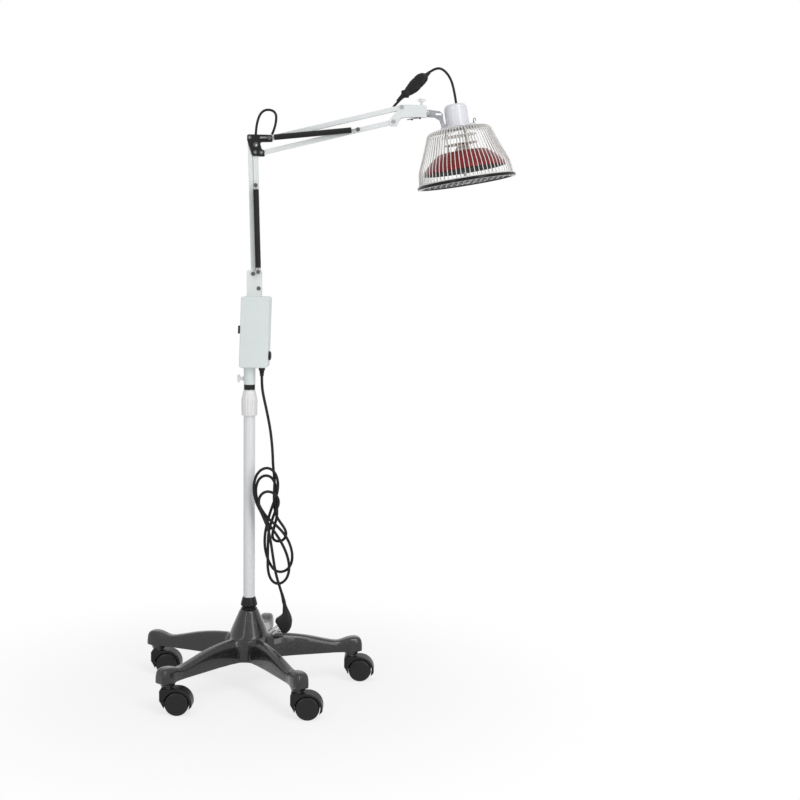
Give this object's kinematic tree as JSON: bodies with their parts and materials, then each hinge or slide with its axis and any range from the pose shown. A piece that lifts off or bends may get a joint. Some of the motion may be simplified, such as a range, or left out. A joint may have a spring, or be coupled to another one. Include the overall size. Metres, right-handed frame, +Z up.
{
  "type": "infrared heat therapy lamp",
  "caption": "Mobile infrared heat lamp: wire-caged red dish on spring-balanced parallelogram arms, control box on a sliding mast, five-star caster base.",
  "frame": {"origin": "on the floor under the column's axis", "axes": "+X towards the lamp head along the arm, +Z up along the column, +Y away from the viewer of the front"},
  "size_m": [0.8004, 0.4713, 1.3416],
  "materials": {
    "cast_base": "dark grey hammered enamel, glossy",
    "white_paint": "satin white powder coat",
    "arm_paint": "satin white powder coat",
    "box_paint": "satin pale mint-white powder coat",
    "white_plastic": "moulded white plastic",
    "black_plastic": "moulded black plastic",
    "black_plate": "black painted steel",
    "bright_steel": "bright zinc-plated steel",
    "galvanised": "galvanised steel sheet",
    "spring_steel": "oiled spring steel",
    "wheel": "black nylon and soft rubber tread",
    "cord": "black flexible sheath",
    "cap_enamel": "glossy white enamel",
    "cage_wire": "white coated steel wire",
    "red_enamel": "deep red enamel, glossy",
    "mineral": "matt black mineral coating",
    "black_enamel": "black enamel",
    "shield": "thin pressed sheet",
    "ceramic": "white steatite"
  },
  "bodies": {
    "stand": {"base_star": "cast_base", "mast_collar": "black_plastic", "lower_column": "white_paint", "column_bush": "white_plastic", "caster_stems": "bright_steel"},
    "mast": {"inner_tube": "white_paint"},
    "grip": {"twist_collar": "white_plastic"},
    "arm_base": {"post_socket": "box_paint", "control_box": "box_paint", "box_rear_cover": "box_paint", "cord_gland": "black_plastic", "arm_bracket": "arm_paint", "shoulder_pins": "bright_steel", "mains_cord": "cord", "mains_hank": "cord", "mains_tail": "cord", "mains_plug": "black_plastic"},
    "socket_screw": {"socket_thumb_screw": "white_plastic"},
    "rocker": {"rocker_switch": "black_plastic"},
    "knob": {"timer_knob": "black_plastic"},
    "outer_bar": {"lower_arm_outer_bar": "arm_paint"},
    "inner_bar": {"lower_arm_inner_bar": "arm_paint"},
    "elbow": {"elbow_plates": "black_plate", "elbow_pins": "bright_steel", "elbow_cable": "cord"},
    "lower_spring_set": {"lower_spring": "spring_steel", "lower_spring_sleeve": "black_plastic"},
    "top_bar": {"upper_arm_top_bar": "arm_paint"},
    "bottom_bar": {"upper_arm_bottom_bar": "arm_paint"},
    "upper_spring_set": {"upper_spring": "spring_steel", "upper_spring_sleeve": "black_plastic"},
    "head_bracket": {"head_bracket": "arm_paint", "head_bracket_pins": "bright_steel", "wrist_bearing": "white_plastic"},
    "wing_screw": {"wrist_wing_screw": "white_plastic"},
    "wrist": {"swivel_shank": "bright_steel", "tilt_strap": "galvanised", "tilt_bolt": "bright_steel", "lead_connector": "black_plastic", "head_lead": "cord"},
    "head": {"head_cap": "cap_enamel", "crown_plate": "cap_enamel", "wire_cage": "cage_wire", "reflector_dish": "red_enamel", "mineral_plate": "mineral", "heat_shields": "shield", "ceramic_insulator": "ceramic", "face_grille": "black_enamel", "rim_ring": "black_enamel", "grille_screw": "bright_steel"},
    "caster_1": {"caster_hood_1": "black_plastic"},
    "wheels_1": {"caster_wheels_1": "wheel"},
    "caster_2": {"caster_hood_2": "black_plastic"},
    "wheels_2": {"caster_wheels_2": "wheel"},
    "caster_3": {"caster_hood_3": "black_plastic"},
    "wheels_3": {"caster_wheels_3": "wheel"},
    "caster_4": {"caster_hood_4": "black_plastic"},
    "wheels_4": {"caster_wheels_4": "wheel"},
    "caster_5": {"caster_hood_5": "black_plastic"},
    "wheels_5": {"caster_wheels_5": "wheel"}
  },
  "joints": [
    {"name": "caster_swivel_1", "type": "hinge", "parent": "stand", "child": "caster_1", "pos_m": [0.22257, 0.05798, 0.05], "axis": [0, 0, 1], "continuous": true},
    {"name": "wheel_spin_1", "type": "hinge", "parent": "caster_1", "child": "wheels_1", "pos_m": [0.24257, 0.05798, 0.025], "axis": [0, 1, 0], "continuous": true},
    {"name": "caster_swivel_2", "type": "hinge", "parent": "stand", "child": "caster_2", "pos_m": [0.01364, 0.22959, 0.05], "axis": [0, 0, 1], "continuous": true},
    {"name": "wheel_spin_2", "type": "hinge", "parent": "caster_2", "child": "wheels_2", "pos_m": [0.03364, 0.22959, 0.025], "axis": [0, 1, 0], "continuous": true},
    {"name": "caster_swivel_3", "type": "hinge", "parent": "stand", "child": "caster_3", "pos_m": [-0.21414, 0.08392, 0.05], "axis": [0, 0, 1], "continuous": true},
    {"name": "wheel_spin_3", "type": "hinge", "parent": "caster_3", "child": "wheels_3", "pos_m": [-0.19414, 0.08392, 0.025], "axis": [0, 1, 0], "continuous": true},
    {"name": "caster_swivel_4", "type": "hinge", "parent": "stand", "child": "caster_4", "pos_m": [-0.14599, -0.17773, 0.05], "axis": [0, 0, 1], "continuous": true},
    {"name": "wheel_spin_4", "type": "hinge", "parent": "caster_4", "child": "wheels_4", "pos_m": [-0.12599, -0.17773, 0.025], "axis": [0, 1, 0], "continuous": true},
    {"name": "caster_swivel_5", "type": "hinge", "parent": "stand", "child": "caster_5", "pos_m": [0.12392, -0.19376, 0.05], "axis": [0, 0, 1], "continuous": true},
    {"name": "wheel_spin_5", "type": "hinge", "parent": "caster_5", "child": "wheels_5", "pos_m": [0.14392, -0.19376, 0.025], "axis": [0, 1, 0], "continuous": true},
    {"name": "mast_slide", "type": "slide", "parent": "stand", "child": "mast", "axis": [0, 0, 1], "range_m": [0, 0.35]},
    {"name": "grip_twist", "type": "hinge", "parent": "stand", "child": "grip", "pos_m": [0, 0, 0.62], "axis": [0, 0, 1], "range_deg": [-60, 60]},
    {"name": "box_swivel", "type": "hinge", "parent": "mast", "child": "arm_base", "pos_m": [0, 0, 0.69], "axis": [0, 0, 1], "range_deg": [-170, 170]},
    {"name": "socket_screw_turn", "type": "hinge", "parent": "arm_base", "child": "socket_screw", "pos_m": [-0.02, 0, 0.681], "axis": [1, 0, 0], "range_deg": [-180, 180]},
    {"name": "rocker_tip", "type": "hinge", "parent": "arm_base", "child": "rocker", "pos_m": [-0.01362, 0, 0.786], "axis": [0, 1, 0], "range_deg": [-6, 6]},
    {"name": "knob_turn", "type": "hinge", "parent": "arm_base", "child": "knob", "pos_m": [0.045, 0, 0.731], "axis": [1, 0, 0], "range_deg": [0, 300]},
    {"name": "lower_arm_lean", "type": "hinge", "parent": "arm_base", "child": "outer_bar", "pos_m": [0.008, 0, 0.9052], "axis": [0, 1, 0], "range_deg": [-1, 50]},
    {"name": "inner_bar_lean", "type": "hinge", "parent": "arm_base", "child": "inner_bar", "pos_m": [0.02, 0, 0.8745], "axis": [0, 1, 0], "range_deg": [-1.1, 50.1]},
    {"name": "elbow_level", "type": "hinge", "parent": "outer_bar", "child": "elbow", "pos_m": [0.00004, 0, 1.19029], "axis": [0, 1, 0], "range_deg": [-50.1, 1.1]},
    {"name": "lower_spring_swing", "type": "hinge", "parent": "arm_base", "child": "lower_spring_set", "pos_m": [0.0197, 0, 0.9092], "axis": [0, 1, 0], "range_deg": [-3, 60], "deforming": ["lower_spring", "lower_spring_sleeve"]},
    {"name": "upper_arm_rise", "type": "hinge", "parent": "elbow", "child": "top_bar", "pos_m": [0.04204, 0, 1.18949], "axis": [0, -1, 0], "range_deg": [-35, 28], "deforming": ["elbow_cable"]},
    {"name": "bottom_bar_rise", "type": "hinge", "parent": "elbow", "child": "bottom_bar", "pos_m": [0.02504, 0, 1.15929], "axis": [0, -1, 0], "range_deg": [-35.1, 28.1]},
    {"name": "head_level", "type": "hinge", "parent": "top_bar", "child": "head_bracket", "pos_m": [0.319, 0, 1.25752], "axis": [0, -1, 0], "range_deg": [-28.1, 35.1]},
    {"name": "upper_spring_swing", "type": "hinge", "parent": "elbow", "child": "upper_spring_set", "pos_m": [0.04204, 0, 1.18949], "axis": [0, -1, 0], "range_deg": [-41, 33], "deforming": ["upper_spring", "upper_spring_sleeve"]},
    {"name": "wing_screw_turn", "type": "hinge", "parent": "head_bracket", "child": "wing_screw", "pos_m": [0.36, 0, 1.27], "axis": [0, 0, 1], "range_deg": [0, 180]},
    {"name": "wrist_roll", "type": "hinge", "parent": "head_bracket", "child": "wrist", "pos_m": [0.371, 0, 1.24552], "axis": [1, 0, 0], "range_deg": [-90, 90]},
    {"name": "head_tilt", "type": "hinge", "parent": "wrist", "child": "head", "pos_m": [0.4065, 0, 1.22162], "axis": [0, 1, 0], "range_deg": [-3, 35], "deforming": ["head_lead"]}
  ],
  "couplings": [
    {"joint": "inner_bar_lean", "follows": "lower_arm_lean", "ratio": 1},
    {"joint": "elbow_level", "follows": "lower_arm_lean", "ratio": -1},
    {"joint": "lower_spring_swing", "follows": "lower_arm_lean", "ratio": 1.165},
    {"joint": "bottom_bar_rise", "follows": "upper_arm_rise", "ratio": 1},
    {"joint": "head_level", "follows": "upper_arm_rise", "ratio": -1},
    {"joint": "upper_spring_swing", "follows": "upper_arm_rise", "ratio": 1.09}
  ]
}
